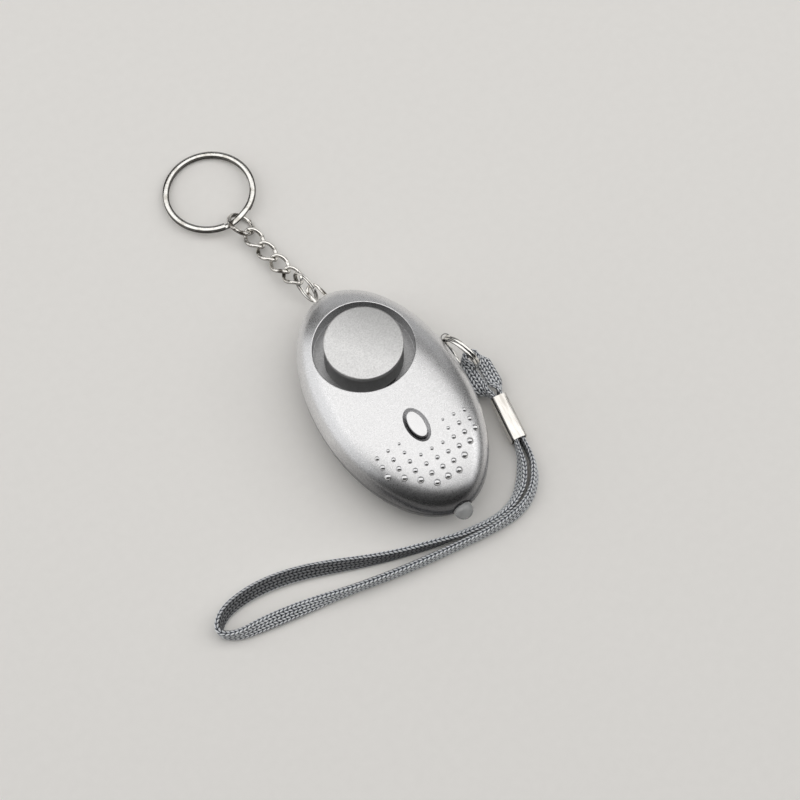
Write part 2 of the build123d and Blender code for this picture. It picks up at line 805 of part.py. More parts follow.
# Strap ferrule and the two stretches of strap that it holds
strap_heading = Vector(sin(radians(ferrule_turn)), cos(radians(ferrule_turn)), 0)
strap_left = up.cross(strap_heading)
ferrule_height = strap_width + 2 * ferrule_play + 2 * ferrule_wall
ferrule_axis = strap_heading * cos(radians(ferrule_tilt)) + up * sin(radians(ferrule_tilt))
ferrule_foot = Vector(
    ferrule_x, ferrule_y, ferrule_height / 2 * cos(radians(ferrule_tilt)) + strap_clear
)
strap_plane = Plane(origin=ferrule_foot, x_dir=ferrule_axis, z_dir=ferrule_axis.cross(strap_left))
ferrule_inner_width = 2 * (strand_offset + strap_thickness / 2 + ferrule_play)
with BuildPart() as strap_ferrule:
    with BuildSketch(Plane(origin=ferrule_foot, x_dir=strap_left, z_dir=ferrule_axis)):
        RectangleRounded(ferrule_inner_width + 2 * ferrule_wall, ferrule_height, ferrule_corner)
        RectangleRounded(
            ferrule_inner_width,
            ferrule_height - 2 * ferrule_wall,
            ferrule_corner - ferrule_wall,
            mode=Mode.SUBTRACT,
        )
    extrude(amount=ferrule_length)
finish(strap_ferrule.part, "strap_ferrule")


def bend_radii(route):
    """The radius of each corner of a route, as large as its two runs allow."""
    radii = []
    for before, corner, after in zip(route, route[1:], route[2:]):
        run_in = Vector(*corner) - Vector(*before)
        run_out = Vector(*after) - Vector(*corner)
        half_turn = radians(run_in.get_angle(run_out)) / 2
        radii.append(bend_share * min(run_in.length, run_out.length) / tan(half_turn))
    return radii


def strap_band(name, plane, route):
    """A flat band on edge along a route in a plane, with rounded upper and lower edges."""
    radii = bend_radii(route)
    with BuildPart() as band:
        with BuildLine(plane) as centre_line:
            FilletPolyline(*route, radius=radii)
        path = centre_line.wires()[0]
        with BuildSketch(Plane(origin=path @ 0, x_dir=plane.z_dir, z_dir=path % 0)):
            SlotOverall(strap_width, strap_thickness)
        sweep(path=path)
    finish(band.part, name)
    section = strap_thickness * (strap_width - strap_thickness) + pi * strap_thickness**2 / 4
    print(f"{name}: length {path.length:.1f}, section times length {section * path.length:.2f}")
    print(f"{name}: radii " + ", ".join(f"{radius:.1f}" for radius in radii))
    return band.part


ring_loop = strap_band("ring_loop", strap_plane, ring_loop_route)
hand_loop = strap_band("hand_loop", Plane.XY.offset(strap_z), hand_loop_route)

# Key chain
chain_heading = Vector(-sin(radians(chain_turn)), cos(radians(chain_turn)), 0)
chain_left = up.cross(chain_heading)


def chain_place(distance, height):
    """The place on the chain's line at a distance from the anchor post."""
    return Vector(0, post_y, height) + chain_heading * distance


with BuildPart() as anchor_post:
    cylinder_between(0, post_y, post_radius, post_bottom_z, post_top_z - running_gap)
finish(anchor_post.part, "anchor_post")

anchor_plane = Plane(origin=chain_place(0, parting_z), x_dir=chain_heading, z_dir=up)
with BuildPart() as anchor_link:
    with BuildLine(anchor_plane) as anchor_path:
        straight = anchor_length - anchor_half_gap
        Line((0, anchor_half_gap), (straight, anchor_half_gap))
        ThreePointArc((straight, anchor_half_gap), (anchor_length, 0), (straight, -anchor_half_gap))
        Line((straight, -anchor_half_gap), (0, -anchor_half_gap))
        ThreePointArc((0, -anchor_half_gap), (-anchor_half_gap, 0), (0, anchor_half_gap))
    anchor_start = chain_place(0, parting_z) + chain_left * anchor_half_gap
    with BuildSketch(Plane(origin=anchor_start, z_dir=chain_heading)):
        Circle(anchor_wire)
    sweep(path=anchor_path.wires()[0])
finish(anchor_link.part, "anchor_link")

small_ring_across = up * cos(radians(small_ring_lean)) - chain_left * sin(radians(small_ring_lean))
small_split_ring = split_ring(
    "small_split_ring",
    chain_place(small_ring_distance, small_ring_z),
    chain_heading,
    small_ring_across,
    small_ring_radius,
    small_ring_radial,
    small_ring_axial,
    70,
)


def twisted_oval(centre, slope, angle):
    """A point of a curb link's centre line: an oval twisted along its sloping length."""
    along = link_half_length * cos(angle)
    aside = link_half_width * sin(angle)
    roll = radians(link_twist) * along / link_half_length
    lengthwise = chain_heading * cos(radians(slope)) - up * sin(radians(slope))
    upwards = chain_heading * sin(radians(slope)) + up * cos(radians(slope))
    return (
        centre + lengthwise * along + chain_left * (aside * cos(roll)) + upwards * (aside * sin(roll))
    )


def curb_link(name, centre, slope):
    """One curb link: a wire along a twisted oval, swept in quarters."""
    small = pi / 180 / link_steps
    with BuildPart() as link:
        for quarter in range(link_quarters):
            angles = [
                2 * pi * (quarter + step / link_steps) / link_quarters for step in range(link_steps + 1)
            ]
            points = [twisted_oval(centre, slope, angle) for angle in angles]
            ends = [
                twisted_oval(centre, slope, angle + small) - twisted_oval(centre, slope, angle - small)
                for angle in (angles[0], angles[-1])
            ]
            with BuildLine() as quarter_path:
                Spline(*points, tangents=ends)
            with BuildSketch(Plane(origin=points[0], z_dir=ends[0])):
                Circle(link_wire)
            sweep(path=quarter_path.edges()[0])
    finish(link.part, name)


for number, (height, slope) in enumerate(zip(link_heights, link_slopes), start=1):
    link_distance = first_link_distance + (number - 1) * link_pitch
    curb_link(f"chain_link_{number}", chain_place(link_distance, height), slope)

jump_ring_distance = first_link_distance + (len(link_heights) - 1) * link_pitch + jump_ring_step
jump_ring_across = chain_left * cos(radians(jump_ring_roll)) + up * sin(radians(jump_ring_roll))
jump_ring_centre = chain_place(jump_ring_distance, jump_ring_z)
with BuildPart() as jump_ring:
    with BuildSketch(Plane(origin=jump_ring_centre, x_dir=chain_heading, z_dir=-jump_ring_across)):
        with Locations((jump_ring_radius, 0)):
            Circle(jump_ring_wire)
    revolve(axis=Axis(jump_ring_centre, chain_heading.cross(jump_ring_across)))
finish(jump_ring.part, "jump_ring")

# Key ring: one side lies on the jump ring, the far side on the table
key_ring_drop = (jump_ring_z - key_ring_far_z) / (2 * key_ring_radius)
key_ring_along = (chain_heading - up * key_ring_drop).normalized()
key_ring_z = (jump_ring_z + key_ring_far_z) / 2
key_ring = split_ring(
    "key_ring",
    chain_place(jump_ring_distance + key_ring_step, key_ring_z),
    key_ring_along,
    chain_left,
    key_ring_radius,
    key_ring_radial,
    key_ring_axial,
    155,
)
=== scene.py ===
from math import cos, pi, radians, sin, sqrt

import bmesh
import bpy
from mathutils import Matrix, Vector


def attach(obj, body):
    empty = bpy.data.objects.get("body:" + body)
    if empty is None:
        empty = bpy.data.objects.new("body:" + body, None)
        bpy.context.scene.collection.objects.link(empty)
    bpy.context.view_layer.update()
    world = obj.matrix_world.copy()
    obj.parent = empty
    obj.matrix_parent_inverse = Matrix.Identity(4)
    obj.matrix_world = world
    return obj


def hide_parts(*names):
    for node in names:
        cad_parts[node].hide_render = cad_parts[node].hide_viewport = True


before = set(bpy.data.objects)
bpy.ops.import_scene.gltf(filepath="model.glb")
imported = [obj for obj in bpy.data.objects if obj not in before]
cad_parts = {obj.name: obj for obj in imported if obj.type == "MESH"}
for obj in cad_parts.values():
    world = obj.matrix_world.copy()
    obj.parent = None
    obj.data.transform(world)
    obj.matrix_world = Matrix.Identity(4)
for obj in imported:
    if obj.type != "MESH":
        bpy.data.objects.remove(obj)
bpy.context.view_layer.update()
MM = 0.001
UP = Vector((0, 0, 1))


def mm(*place):
    """A place given in millimetres, in metres."""
    return Vector(place) * MM


def pick(piece):
    """Make one piece the only selected and active one."""
    bpy.ops.object.select_all(action="DESELECT")
    piece.select_set(True)
    bpy.context.view_layer.objects.active = piece


# Camera at the photograph's viewing angle
camera_place = mm(-141.09, -235.72, 641.94)
camera_target = mm(4.04, 2.71, 0)
bpy.ops.object.camera_add(location=camera_place)
camera = bpy.context.object
camera.name = "photo_camera"
camera.data.lens = 121.9
camera.data.sensor_width = 36
camera.data.clip_start = 0.01
camera.rotation_euler = (camera_target - camera_place).to_track_quat("-Z", "Y").to_euler()
bpy.context.scene.camera = camera

# Strap routes, in the order in which the strap runs
strap_width = 4.2 * MM
strap_thickness = 1.2 * MM
strap_height = 2.2
ferrule_turn = radians(6.2)
ferrule_tilt = radians(7.0)
strap_heading = Vector((sin(ferrule_turn), cos(ferrule_turn), 0))
strap_left = UP.cross(strap_heading)
ferrule_axis = strap_heading * cos(ferrule_tilt) + UP * sin(ferrule_tilt)
ferrule_foot = mm(23.7, -23.5, 4.9 / 2 * cos(ferrule_tilt) + 0.1)
ferrule_length = 12.4 * MM
strap_tall = ferrule_axis.cross(strap_left)
ring_loop_route = [
    (9.0, -0.7), (13.2, -0.75), (14.6, -1.2), (16.6, -1.0), (20.0, -0.8), (23.0, -0.5),
    (24.9, -0.1), (26.3, 1.3), (26.1, 3.3), (24.0, 4.1), (20.4, 3.65), (17.0, 3.3), (14.9, 2.2),
    (13.3, 0.85), (9.0, 0.7),
]
hand_loop_route = [
    (22.85, -23.5), (21.6, -27.9), (19.6, -31.7), (16.4, -35.4), (11.8, -37.9), (5.7, -38.7),
    (-6.1, -37.1), (-17.7, -34.3), (-26.5, -31.4), (-35.0, -28.0), (-43.0, -25.2), (-51.0, -23.6),
    (-58.5, -23.5), (-64.6, -24.9), (-68.2, -28.6), (-64.2, -31.7), (-56.5, -32.4), (-46.0, -33.8),
    (-35.5, -35.6), (-25.0, -37.5), (-15.0, -38.9), (-5.0, -39.8), (5.2, -40.6), (13.0, -40.2),
    (18.7, -37.7), (22.6, -33.1), (24.2, -28.5), (24.5, -23.6),
]
ring_loop_points = []
for along, beside in ring_loop_route:
    ring_loop_points.append(ferrule_foot + ferrule_axis * (along * MM) + strap_left * (beside * MM))
hand_loop_points = [mm(x, y, strap_height) for x, y in hand_loop_route]


def smooth_line(points, name):
    """The smooth line that a strap follows: a NURBS spline with the route as its control points."""
    curve = bpy.data.curves.new(name, "CURVE")
    curve.dimensions = "3D"
    curve.resolution_u = 24
    spline = curve.splines.new("NURBS")
    spline.points.add(len(points) - 1)
    for control, place in zip(spline.points, points):
        control.co = (*place, 1)
    spline.order_u = 3
    spline.use_endpoint_u = True
    holder = bpy.data.objects.new(name, curve)
    bpy.context.collection.objects.link(holder)
    bpy.context.view_layer.update()
    mesh = bpy.data.meshes.new_from_object(holder)
    line = [vertex.co.copy() for vertex in mesh.vertices]
    bpy.data.meshes.remove(mesh)
    bpy.data.objects.remove(holder)
    bpy.data.curves.remove(curve)
    return line


def line_length(line):
    """The length of a line through its points."""
    return sum((b - a).length for a, b in zip(line, line[1:]))


def even_places(line, count):
    """Places evenly spaced along a line, with the direction of travel at each."""
    total = line_length(line)
    places = []
    index = 0
    walked = 0.0
    for step in range(count + 1):
        wanted = total * step / count
        while index < len(line) - 2 and walked + (line[index + 1] - line[index]).length < wanted:
            walked += (line[index + 1] - line[index]).length
            index += 1
        run = line[index + 1] - line[index]
        share = min(max((wanted - walked) / run.length, 0), 1)
        places.append(line[index].lerp(line[index + 1], share))
    headings = []
    for step in range(count + 1):
        before = places[max(step - 1, 0)]
        after = places[min(step + 1, count)]
        headings.append((after - before).normalized())
    return places, headings


# The braid: stitches along each row, rows round the band, and the detail of the mesh
stitch_length = 1.12 * MM
stitch_rows = 12
steps_per_stitch = 7
steps_per_row = 5
stitch_depth = 0.2 * MM
stitch_slant = 0.75


def band_outline(share):
    """A point of the band's rounded section and its outward direction, from the share of its girth."""
    flat = strap_width - strap_thickness
    round_end = pi * strap_thickness / 2
    girth = 2 * flat + 2 * round_end
    along = (share % 1.0) * girth
    half = strap_thickness / 2
    if along < flat:
        return Vector((flat / 2 - along, half)), Vector((0, 1))
    along -= flat
    if along < round_end:
        angle = pi / 2 + along / half
        return Vector((-flat / 2 + half * cos(angle), half * sin(angle))), Vector((cos(angle), sin(angle)))
    along -= round_end
    if along < flat:
        return Vector((-flat / 2 + along, -half)), Vector((0, -1))
    along -= flat
    angle = -pi / 2 + along / half
    return Vector((flat / 2 + half * cos(angle), half * sin(angle))), Vector((cos(angle), sin(angle)))


def stitch_relief(along, around):
    """Height of the braid, from 0 in a gap to 1 on a yarn: rows of slanting stitches, turned by turns."""
    row = int(around) % stitch_rows
    across = around - int(around)
    slant = across if row % 2 else 1 - across
    phase = (along + stitch_slant * slant) % 1.0
    length_shape = max(0.0, sin(pi * phase)) ** 0.7
    cross_shape = max(0.0, sin(pi * across)) ** 0.6
    return length_shape * cross_shape


def braided_band(name, line, side_axis, lean_of_share, fullness):
    """A flat tubular braid on edge along a line, stitched in rows that run its length.

    It is pressed flat at its ends, inside the sleeve, and fuller by a share between them.
    """
    total = line_length(line)
    stitches = round(total / stitch_length)
    rings = stitches * steps_per_stitch
    around_count = stitch_rows * steps_per_row
    places, headings = even_places(line, rings)
    vertices = []
    for ring in range(rings + 1):
        heading = headings[ring]
        share = ring / rings
        lean = Matrix.Rotation(lean_of_share(share), 3, heading)
        tall = side_axis - heading * side_axis.dot(heading)
        tall = lean @ tall.normalized()
        thick = heading.cross(tall).normalized()
        along = ring / steps_per_stitch
        from_end = min(share, 1 - share) * total
        swell = 1 + fullness * min(max((from_end - 3 * MM) / (4 * MM), 0), 1)
        for step in range(around_count):
            outline, outward = band_outline(step / around_count)
            crown = 1 + 0.25 * (swell - 1) * cos(pi * outline.x / strap_width)
            relief = stitch_relief(along, step / steps_per_row) - 1
            point = Vector((outline.x, outline.y * swell * crown)) + outward * (relief * stitch_depth)
            vertices.append(places[ring] + tall * point.x + thick * point.y)
    faces = []
    for ring in range(rings):
        for step in range(around_count):
            following = (step + 1) % around_count
            low = ring * around_count
            high = low + around_count
            faces.append((low + step, high + step, high + following, low + following))
    faces.append(tuple(range(around_count)))
    faces.append(tuple(reversed(range(rings * around_count, (rings + 1) * around_count))))
    mesh = bpy.data.meshes.new(name)
    mesh.from_pydata(vertices, [], faces)
    layer = mesh.uv_layers.new(name="braid")
    for polygon in mesh.polygons[:-2]:
        ring = polygon.index // around_count
        step = polygon.index % around_count
        corners = ((ring, step), (ring + 1, step), (ring + 1, step + 1), (ring, step + 1))
        for loop, (ring_at, step_at) in zip(polygon.loop_indices, corners):
            layer.data[loop].uv = (ring_at / steps_per_stitch, step_at / steps_per_row)
    mesh.polygons.foreach_set("use_smooth", [True] * len(mesh.polygons))
    mesh.update()
    piece = bpy.data.objects.new(name, mesh)
    bpy.context.collection.objects.link(piece)
    bm = bmesh.new()
    bm.from_mesh(mesh)
    bmesh.ops.recalc_face_normals(bm, faces=bm.faces)
    bm.to_mesh(mesh)
    bm.free()
    return piece


def hump(share, centre, width):
    """A smooth hump from 0 to 1 and back around a share of the strap's length."""
    away = abs(share - centre) / width
    return 0.0 if away >= 1 else (0.5 + 0.5 * cos(pi * away))


def plateau(share, centre, width):
    """A hump with a level top."""
    return min(1, 1.7 * hump(share, centre, width))


def hand_loop_lean(share):
    """The hand loop's lean from upright: on each side of the far fold and in the bends by the sleeve."""
    before_fold = 42 * hump(share, 0.39, 0.19)
    after_fold = 42 * hump(share, 0.575, 0.11)
    first_bend = 24 * plateau(share, 0.11, 0.11) + 14 * hump(share, 0.04, 0.045)
    last_bend = 14 * plateau(share, 0.92, 0.075)
    return radians(before_fold - after_fold - first_bend - last_bend)


def ring_loop_lean(share):
    """The ring loop's lean: its two bands lie nearly flat."""
    lying = plateau(share, 0.28, 0.18) + plateau(share, 0.7, 0.17)
    return radians(-76 * lying)


hand_loop_line = smooth_line(hand_loop_points, "hand_loop_line")
ring_loop_line = smooth_line(ring_loop_points, "ring_loop_line")
hand_loop = braided_band("wrist_strap", hand_loop_line, UP, hand_loop_lean, 0.3)
ring_loop = braided_band("strap_ring_loop", ring_loop_line, strap_tall, ring_loop_lean, 0.2)
for piece, node in ((hand_loop, "hand_loop"), (ring_loop, "ring_loop")):
    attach(piece, "strap")
    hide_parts(node)


# Material helpers
def new_material(name):
    """A node material with its surface shader, and a way to add nodes."""
    material = bpy.data.materials.new(name)
    material.use_nodes = True
    tree = material.node_tree
    tree.nodes.clear()
    output = tree.nodes.new("ShaderNodeOutputMaterial")
    shader = tree.nodes.new("ShaderNodeBsdfPrincipled")
    tree.links.new(shader.outputs["BSDF"], output.inputs["Surface"])
    return material, tree, shader


def add_node(tree, kind, settings=None, **inputs):
    """Add a node, set its settings, and set or link its inputs."""
    node = tree.nodes.new(kind)
    for key, value in (settings or {}).items():
        setattr(node, key, value)
    for key, value in inputs.items():
        socket = node.inputs[int(key[1:])] if key[0] == "i" and key[1:].isdigit() else node.inputs[key]
        if isinstance(value, bpy.types.NodeSocket):
            tree.links.new(value, socket)
        else:
            socket.default_value = value
    return node


def object_place(tree, stretch=(1, 1, 1)):
    """Object coordinates in metres, stretched to aim a pattern."""
    place = add_node(tree, "ShaderNodeTexCoord")
    mapping = add_node(tree, "ShaderNodeMapping", Vector=place.outputs["Object"])
    mapping.inputs["Scale"].default_value = stretch
    return mapping.outputs["Vector"]


def noise(tree, place, scale, detail=2.0, roughness=0.5):
    """Cloudy values about 0.5."""
    node = add_node(tree, "ShaderNodeTexNoise", Vector=place, Scale=scale, Detail=detail, Roughness=roughness)
    return node.outputs["Fac"]


def ramp(tree, value, stops):
    """A ramp from (position, grey or colour) stops."""
    node = add_node(tree, "ShaderNodeValToRGB", Fac=value)
    elements = node.color_ramp.elements
    while len(elements) < len(stops):
        elements.new(0.5)
    for element, (position, colour) in zip(elements, stops):
        element.position = position
        element.color = (colour, colour, colour, 1) if isinstance(colour, float) else (*colour, 1)
    return node.outputs["Color"]


def spread(tree, value, low, high, to_low, to_high):
    """A value between low and high, mapped to another range."""
    node = add_node(tree, "ShaderNodeMapRange", i0=value, i1=low, i2=high, i3=to_low, i4=to_high)
    return node.outputs["Result"]


def calculate(tree, operation, *values):
    """A maths node with up to three values."""
    inputs = {"i" + str(index): value for index, value in enumerate(values)}
    return add_node(tree, "ShaderNodeMath", {"operation": operation}, **inputs).outputs[0]


def along_direction(tree, place, direction):
    """How far a place lies along a direction, in metres for a direction of length 1."""
    node = add_node(tree, "ShaderNodeVectorMath", {"operation": "DOT_PRODUCT"}, i0=place, i1=direction)
    return node.outputs["Value"]


def multiplied(tree, colour, other):
    """One colour times another."""
    node = add_node(tree, "ShaderNodeVectorMath", {"operation": "MULTIPLY"}, i0=colour, i1=other)
    return node.outputs["Vector"]


def blended(tree, amount, colour, other):
    """A colour that turns into a fixed one as the amount goes from 0 to 1."""
    mix = add_node(tree, "ShaderNodeMix", {"data_type": "RGBA"}, i0=amount)
    tree.links.new(colour, mix.inputs[6])
    mix.inputs[7].default_value = (*other, 1)
    return mix.outputs[2]


def bump(tree, shader, height, distance, strength=1.0):
    """Let a height roughen the shader's surface."""
    node = add_node(tree, "ShaderNodeBump", Height=height, Distance=distance, Strength=strength)
    tree.links.new(node.outputs["Normal"], shader.inputs["Normal"])


def set_shader(shader, **values):
    """Set the shader's inputs, named with underscores for spaces."""
    for key, value in values.items():
        shader.inputs[key.replace("_", " ")].default_value = value


def darkened(tree, colour, place, centre, inner, outer, low, high, depth):
    """Paint shade into a colour between two radii about an upright line and between two heights."""
    axes = add_node(tree, "ShaderNodeSeparateXYZ", Vector=place)
    flat = add_node(tree, "ShaderNodeCombineXYZ", X=axes.outputs["X"], Y=axes.outputs["Y"]).outputs[0]
    distance = add_node(tree, "ShaderNodeVectorMath", {"operation": "DISTANCE"}, i0=flat, i1=centre)
    away = distance.outputs["Value"]
    past_inner = spread(tree, away, inner - soft_edge, inner + soft_edge, 0.0, 1.0)
    before_outer = spread(tree, away, outer - soft_edge, outer + soft_edge, 1.0, 0.0)
    under = spread(tree, axes.outputs["Z"], low, high, 1.0, 0.0)
    ring = calculate(tree, "MULTIPLY", past_inner, before_outer)
    amount = calculate(tree, "MULTIPLY", calculate(tree, "MULTIPLY", ring, under), depth)
    return blended(tree, amount, colour, (0.03, 0.03, 0.032))


def lamp_end_coat(tree, colour, place, depth):
    """Painted shade low on the lamp's end, fading out upwards and towards the middle."""
    height = add_node(tree, "ShaderNodeSeparateXYZ", Vector=place).outputs["Z"]
    end = spread(tree, along_direction(tree, place, (-0.58, -0.81, 0)), 13 * MM, 26 * MM, 0.0, 1.0)
    low = spread(tree, height, 17 * MM, 12.5 * MM, 0.0, depth)
    return blended(tree, calculate(tree, "MULTIPLY", end, low), colour, (0.05, 0.05, 0.055))


def metallic_paint(name, dark, light, roughness, sparkle=1.0, shade=None, side_shade=None, end_shade_depth=0.0):
    """Silver paint: fine metal flakes under a satin clear coat.

    shade holds the last values of darkened, for painted shade; side shade is the tone left on the chain's
    side by a painted shade across the part, and end shade depth is how dark the painted shade low on the
    lamp's end is.
    """
    material, tree, shader = new_material(name)
    place = object_place(tree)
    flake = add_node(tree, "ShaderNodeTexVoronoi", Vector=place, Scale=5200.0)
    flake_shade = add_node(tree, "ShaderNodeSeparateColor", Color=flake.outputs["Color"]).outputs[0]
    mottle = noise(tree, place, 2600.0, 3.0, 0.6)
    mixed = calculate(tree, "MULTIPLY_ADD", flake_shade, 0.55, mottle)
    colour = ramp(tree, mixed, [(0.35, dark), (1.0, light)])
    if shade:
        colour = darkened(tree, colour, place, *shade)
    # Painted shade low on the lamp's end
    if end_shade_depth:
        colour = lamp_end_coat(tree, colour, place, end_shade_depth)
    # Painted shade that deepens across the part towards the chain's side
    if side_shade:
        tone = spread(tree, along_direction(tree, place, (0.8, 0.6, 0)), 5.0 * MM, 19.0 * MM, 1.0, side_shade)
        level = add_node(tree, "ShaderNodeCombineXYZ", X=tone, Y=tone, Z=tone).outputs[0]
        colour = multiplied(tree, colour, level)
    tree.links.new(colour, shader.inputs["Base Color"])
    rough = spread(tree, mixed, 0.3, 1.1, roughness + 0.06, roughness - 0.06)
    tree.links.new(rough, shader.inputs["Roughness"])
    set_shader(shader, Metallic=0.9)
    bump(tree, shader, mottle, 0.000012 * sparkle, 0.5)
    return material


def polished_metal(
    name, dark, light, roughness, drawn=(1, 1, 1), shade=None, patches=(0.3, 0.7), patch_scale=160.0,
    edge_shaded=False,
):
    """Plated metal with faint handling marks; with edge shading on, shade is painted where the edge attribute
    says so.
    """
    material, tree, shader = new_material(name)
    place = object_place(tree, drawn)
    marks = noise(tree, place, 900.0, 4.0, 0.65)
    stain = noise(tree, place, patch_scale, 3.0, 0.55)
    colour = ramp(tree, stain, [(patches[0], dark), (patches[1], light)])
    if shade:
        colour = darkened(tree, colour, place, *shade)
    # Painted shade read from the edge attribute, towards a near-black brown
    if edge_shaded:
        edge = add_node(tree, "ShaderNodeAttribute", {"attribute_name": "edge"}).outputs["Fac"]
        colour = blended(tree, spread(tree, edge, 0.25, 0.75, 0.0, 0.93), colour, (0.05, 0.045, 0.04))
    tree.links.new(colour, shader.inputs["Base Color"])
    rough = spread(tree, marks, 0.3, 0.75, roughness, roughness + 0.14)
    tree.links.new(rough, shader.inputs["Roughness"])
    set_shader(shader, Metallic=1.0)
    bump(tree, shader, marks, 0.00001, 0.3)
    return material


def moulded_plastic(name, dark, light, roughness, grain_scale=2500.0, grain_depth=0.00002):
    """Moulded plastic with a fine grain."""
    material, tree, shader = new_material(name)
    place = object_place(tree)
    grain = noise(tree, place, grain_scale, 3.0, 0.6)
    cloud = noise(tree, place, 120.0, 2.0, 0.5)
    tree.links.new(ramp(tree, cloud, [(0.3, dark), (0.7, light)]), shader.inputs["Base Color"])
    rough = spread(tree, grain, 0.3, 0.7, roughness - 0.05, roughness + 0.08)
    tree.links.new(rough, shader.inputs["Roughness"])
    bump(tree, shader, grain, grain_depth, 0.4)
    return material


def clear_epoxy(name):
    """Cast clear resin with a faint haze."""
    material, tree, shader = new_material(name)
    place = object_place(tree)
    haze = noise(tree, place, 700.0, 2.0, 0.5)
    tree.links.new(spread(tree, haze, 0.3, 0.7, 0.02, 0.09), shader.inputs["Roughness"])
    tint = ramp(tree, haze, [(0.0, (0.93, 0.95, 0.96)), (1.0, (0.97, 0.98, 0.98))])
    tree.links.new(tint, shader.inputs["Base Color"])
    set_shader(shader, Transmission_Weight=0.72, IOR=1.5)
    bump(tree, shader, haze, 0.00001, 0.2)
    return material


def circuit_green(name):
    """Solder mask over copper tracks."""
    material, tree, shader = new_material(name)
    place = object_place(tree)
    tracks = add_node(tree, "ShaderNodeTexBrick", Vector=place, Scale=260.0)
    tracks.inputs["Mortar Size"].default_value = 0.035
    cloud = noise(tree, place, 300.0)
    base = ramp(tree, cloud, [(0.3, (0.02, 0.13, 0.05)), (0.7, (0.03, 0.18, 0.07))])
    tree.links.new(blended(tree, tracks.outputs["Fac"], base, (0.06, 0.3, 0.12)), shader.inputs["Base Color"])
    set_shader(shader, Roughness=0.32, Coat_Weight=0.3)
    bump(tree, shader, tracks.outputs["Fac"], 0.00004, 0.6)
    return material


def braid_yarn(name):
    """Grey yarn: pale twisted stitches with painted shade in the gaps between them and on the band's inner
    face, following the braid's own map.
    """
    material, tree, shader = new_material(name)
    uv = add_node(tree, "ShaderNodeUVMap", {"uv_map": "braid"})
    axes = add_node(tree, "ShaderNodeSeparateXYZ", Vector=uv.outputs["UV"])
    around = axes.outputs["Y"]
    along = axes.outputs["X"]
    across = calculate(tree, "FRACT", around)
    odd = calculate(tree, "MODULO", calculate(tree, "FLOOR", around), 2.0)
    turned = calculate(tree, "SUBTRACT", 1.0, across)
    slant = add_node(tree, "ShaderNodeMix", {"data_type": "FLOAT"}, i0=odd, i2=turned, i3=across).outputs[0]
    shifted = calculate(tree, "MULTIPLY_ADD", slant, stitch_slant, along)
    phase = calculate(tree, "FRACT", shifted)
    phase_wave = calculate(tree, "SINE", spread(tree, phase, 0, 1, 0, pi))
    cross_wave = calculate(tree, "SINE", spread(tree, across, 0, 1, 0, pi))
    hill = calculate(tree, "MULTIPLY", phase_wave, cross_wave)
    # Fine filaments that run along each slanting stitch
    run = spread(tree, shifted, 0, 1, 0, 9.0)
    side = spread(tree, around, 0, 1, 0, 3.0)
    strand = add_node(tree, "ShaderNodeCombineXYZ", X=run, Y=side).outputs[0]
    filament = noise(tree, strand, 1.0, 3.0)
    tone = noise(tree, object_place(tree), 260.0, 3.0, 0.6)
    height = calculate(tree, "MULTIPLY_ADD", filament, 0.35, hill)
    shade = calculate(tree, "MULTIPLY_ADD", tone, 0.25, height)
    # Painted shade in the gaps between the stitches, darkest where the braid sinks lowest
    colour = ramp(tree, shade, [
        (0.36, (0.008, 0.009, 0.012)), (0.5, (0.1, 0.11, 0.13)), (0.66, (0.5, 0.53, 0.58)),
        (1.0, (0.86, 0.88, 0.9)),
    ])
    # Painted shade on the band's inner face
    face = ramp(tree, spread(tree, around, 0, stitch_rows, 0, 1), [
        (0.0, 1.0), (0.46, 1.0), (0.53, 0.26), (0.83, 0.26), (0.9, 1.0),
    ])
    tree.links.new(multiplied(tree, colour, face), shader.inputs["Base Color"])
    tree.links.new(spread(tree, filament, 0.3, 0.7, 0.5, 0.75), shader.inputs["Roughness"])
    set_shader(shader, Sheen_Weight=0.3, Sheen_Roughness=0.4)
    bump(tree, shader, height, 0.00018, 0.8)
    return material


# Painted shade about upright lines, in the well, on the cap's side wall and in the gap round the button:
# centre, inner and outer radius, low and high end, depth
soft_edge = 0.1 * MM
well_centre = mm(0, 13.8, 0)
well_shade = (well_centre, 0, 13.05 * MM, 17.2 * MM, 18.0 * MM, 0.6)
cap_shade = (well_centre, 9.9 * MM, 14 * MM, 17.6 * MM, 18.6 * MM, 0.5)
button_shade = (mm(0.17, -6.4, 0), 2.08 * MM, 9 * MM, 30 * MM, 31 * MM, 0.85)

# The front shell's paint, with painted shade in the well and low on the lamp's end
silver = metallic_paint(
    "silver_paint", (0.68, 0.68, 0.69), (0.78, 0.78, 0.79), 0.31, 0.16, well_shade, end_shade_depth=0.88,
)
silver_bumps = metallic_paint("silver_paint_bumps", (0.66, 0.66, 0.67), (0.76, 0.76, 0.77), 0.08, 0.05)
# The rear shell's paint: the same silver darkened as painted shade, with more painted shade low on the lamp's
# end
silver_rear_painted_shade = metallic_paint(
    "silver_paint_rear", (0.27, 0.27, 0.275), (0.36, 0.36, 0.365), 0.36, 0.16, end_shade_depth=0.75,
)
# The cap's paint, with painted shade on its side wall and deepening towards the chain's side
silver_cap = metallic_paint(
    "silver_paint_cap", (0.6, 0.6, 0.6), (0.78, 0.78, 0.78), 0.42, 0.7, cap_shade, 0.5,
)
